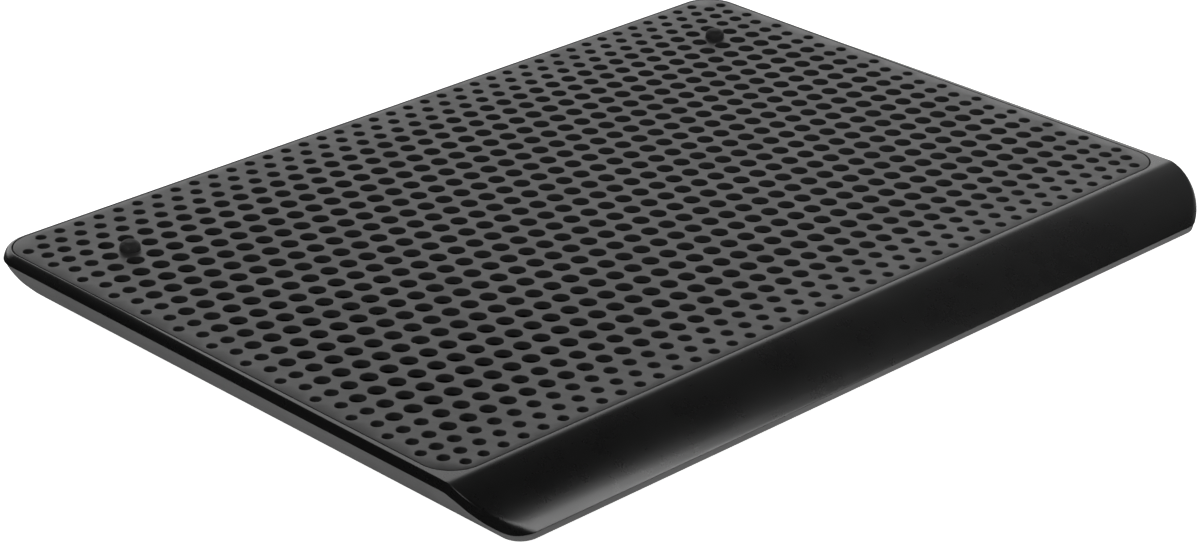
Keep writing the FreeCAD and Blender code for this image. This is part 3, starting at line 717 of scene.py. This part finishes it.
def paleFloor():
    # A round pale floor, with soft cloudy variation in its white. It glows a little beside the pad
    # and not under it: by the distance from the pad's middle. Glossy surfaces don't mirror it.
    count, radius = 96, 6.0
    rim = circlePoints(np.zeros((1, 2)), np.array([radius]), count)[0]
    mesh = bpy.data.meshes.new("studioFloor")
    mesh.from_pydata(raised(rim, 0.0).tolist(), [], [list(range(count))])
    floor = bpy.data.objects.new("studioFloor", mesh)
    bpy.context.scene.collection.objects.link(floor)
    material, tree, shader, where = newMaterial("floorWhite")
    cloud = noise(tree, where, 3.0)
    white = mixColours(tree, cloud, (0.88, 0.88, 0.88), (0.92, 0.92, 0.92))
    tree.links.new(white, shader.inputs["Base Color"])
    shader.inputs["Roughness"].default_value = 0.9
    shader.inputs["Specular IOR Level"].default_value = 0.1
    shader.inputs["Emission Color"].default_value = (1.0, 1.0, 1.0, 1.0)
    flat = addNode(tree, "ShaderNodeMapping",
                   {"Vector": where, "Scale": (1 / frameHigh.x, 1 / frameHigh.y, 0.0)})
    out = addNode(tree, "ShaderNodeVectorMath", {0: flat.outputs[0]}, operation="ABSOLUTE").outputs["Vector"]
    sides = addNode(tree, "ShaderNodeSeparateXYZ", {0: out})
    beyond = addNode(tree, "ShaderNodeMath", {0: sides.outputs["X"], 1: sides.outputs["Y"]},
                     operation="MAXIMUM")
    glow = addNode(tree, "ShaderNodeMapRange",
                   {"Value": beyond.outputs[0], "From Min": 0.84, "From Max": 0.91,
                    "To Min": 0.0, "To Max": 0.95})
    tree.links.new(glow.outputs["Result"], shader.inputs["Emission Strength"])
    mesh.materials.append(material)
    floor.visible_glossy = False


lights = {
    # name: place, aim, width, depth, watts
    "overhead": ((-0.25, 0.25, 1.6), (0.0, 0.0, 0.0), 1.4, 1.2, 1.0),
    "frontRight": ((0.17, -0.46, 0.22), (-0.19, -0.135, 0.01), 0.12, 0.34, 0.95),
    "leftSide": ((-1.0, -0.15, 0.80), (-0.18, -0.10, 0.0), 0.6, 0.5, 5.0),
}
sky = {"level": 1.8, "high": 0.008, "from": 0.48, "to": 0.60, "low": 0.04, "front": 0.02,
       "sideFrom": 0.34, "sideTo": 0.66}


def setLights():
    for name, (place, aim, width, depth, watts) in lights.items():
        data = bpy.data.lights.new(name, "AREA")
        data.shape = "RECTANGLE"
        data.size, data.size_y = width, depth
        data.energy = watts
        light = bpy.data.objects.new(name, data)
        bpy.context.scene.collection.objects.link(light)
        light.location = place
        light.visible_camera = False
        light.rotation_euler = (Vector(aim) - Vector(place)).to_track_quat("-Z", "Y").to_euler()


def setSky():
    # A bright backdrop round the back up to a height, dark above, below and in front: the product
    # of one ramp over the direction's height and one over how far it points away from the camera.
    world = bpy.data.worlds.new("studioSky")
    bpy.context.scene.world = world
    world.use_nodes = True
    tree = world.node_tree
    direction = addNode(tree, "ShaderNodeTexCoord").outputs["Generated"]
    height = addNode(tree, "ShaderNodeSeparateXYZ", {0: direction}).outputs["Z"]
    halfHeight = addNode(tree, "ShaderNodeMath", {0: height, 1: 0.5, 2: 0.5},
                         operation="MULTIPLY_ADD").outputs[0]
    high, low, level = sky["high"], sky["low"], sky["level"]
    shade = ramp(tree, halfHeight, [(0.49, low), (0.505, level), (0.5 + sky["from"] / 2, level),
                                    (0.5 + sky["to"] / 2, high)])
    h = math.radians(view["heading"])
    away = addNode(tree, "ShaderNodeVectorMath", {0: direction, 1: (math.sin(h), math.cos(h), 0.0)},
                   operation="DOT_PRODUCT").outputs["Value"]
    behind = ramp(tree, away, [(sky["sideFrom"], sky["front"]), (sky["sideTo"], 1.0)])
    backdrop = mixColours(tree, 1.0, shade, behind, "MULTIPLY")
    tree.links.new(backdrop, tree.nodes["Background"].inputs["Color"])
    bpy.context.scene.view_settings.view_transform = "Standard"


setCamera()
paleFloor()
setLights()
setSky()
print("camera, floor and lights set")
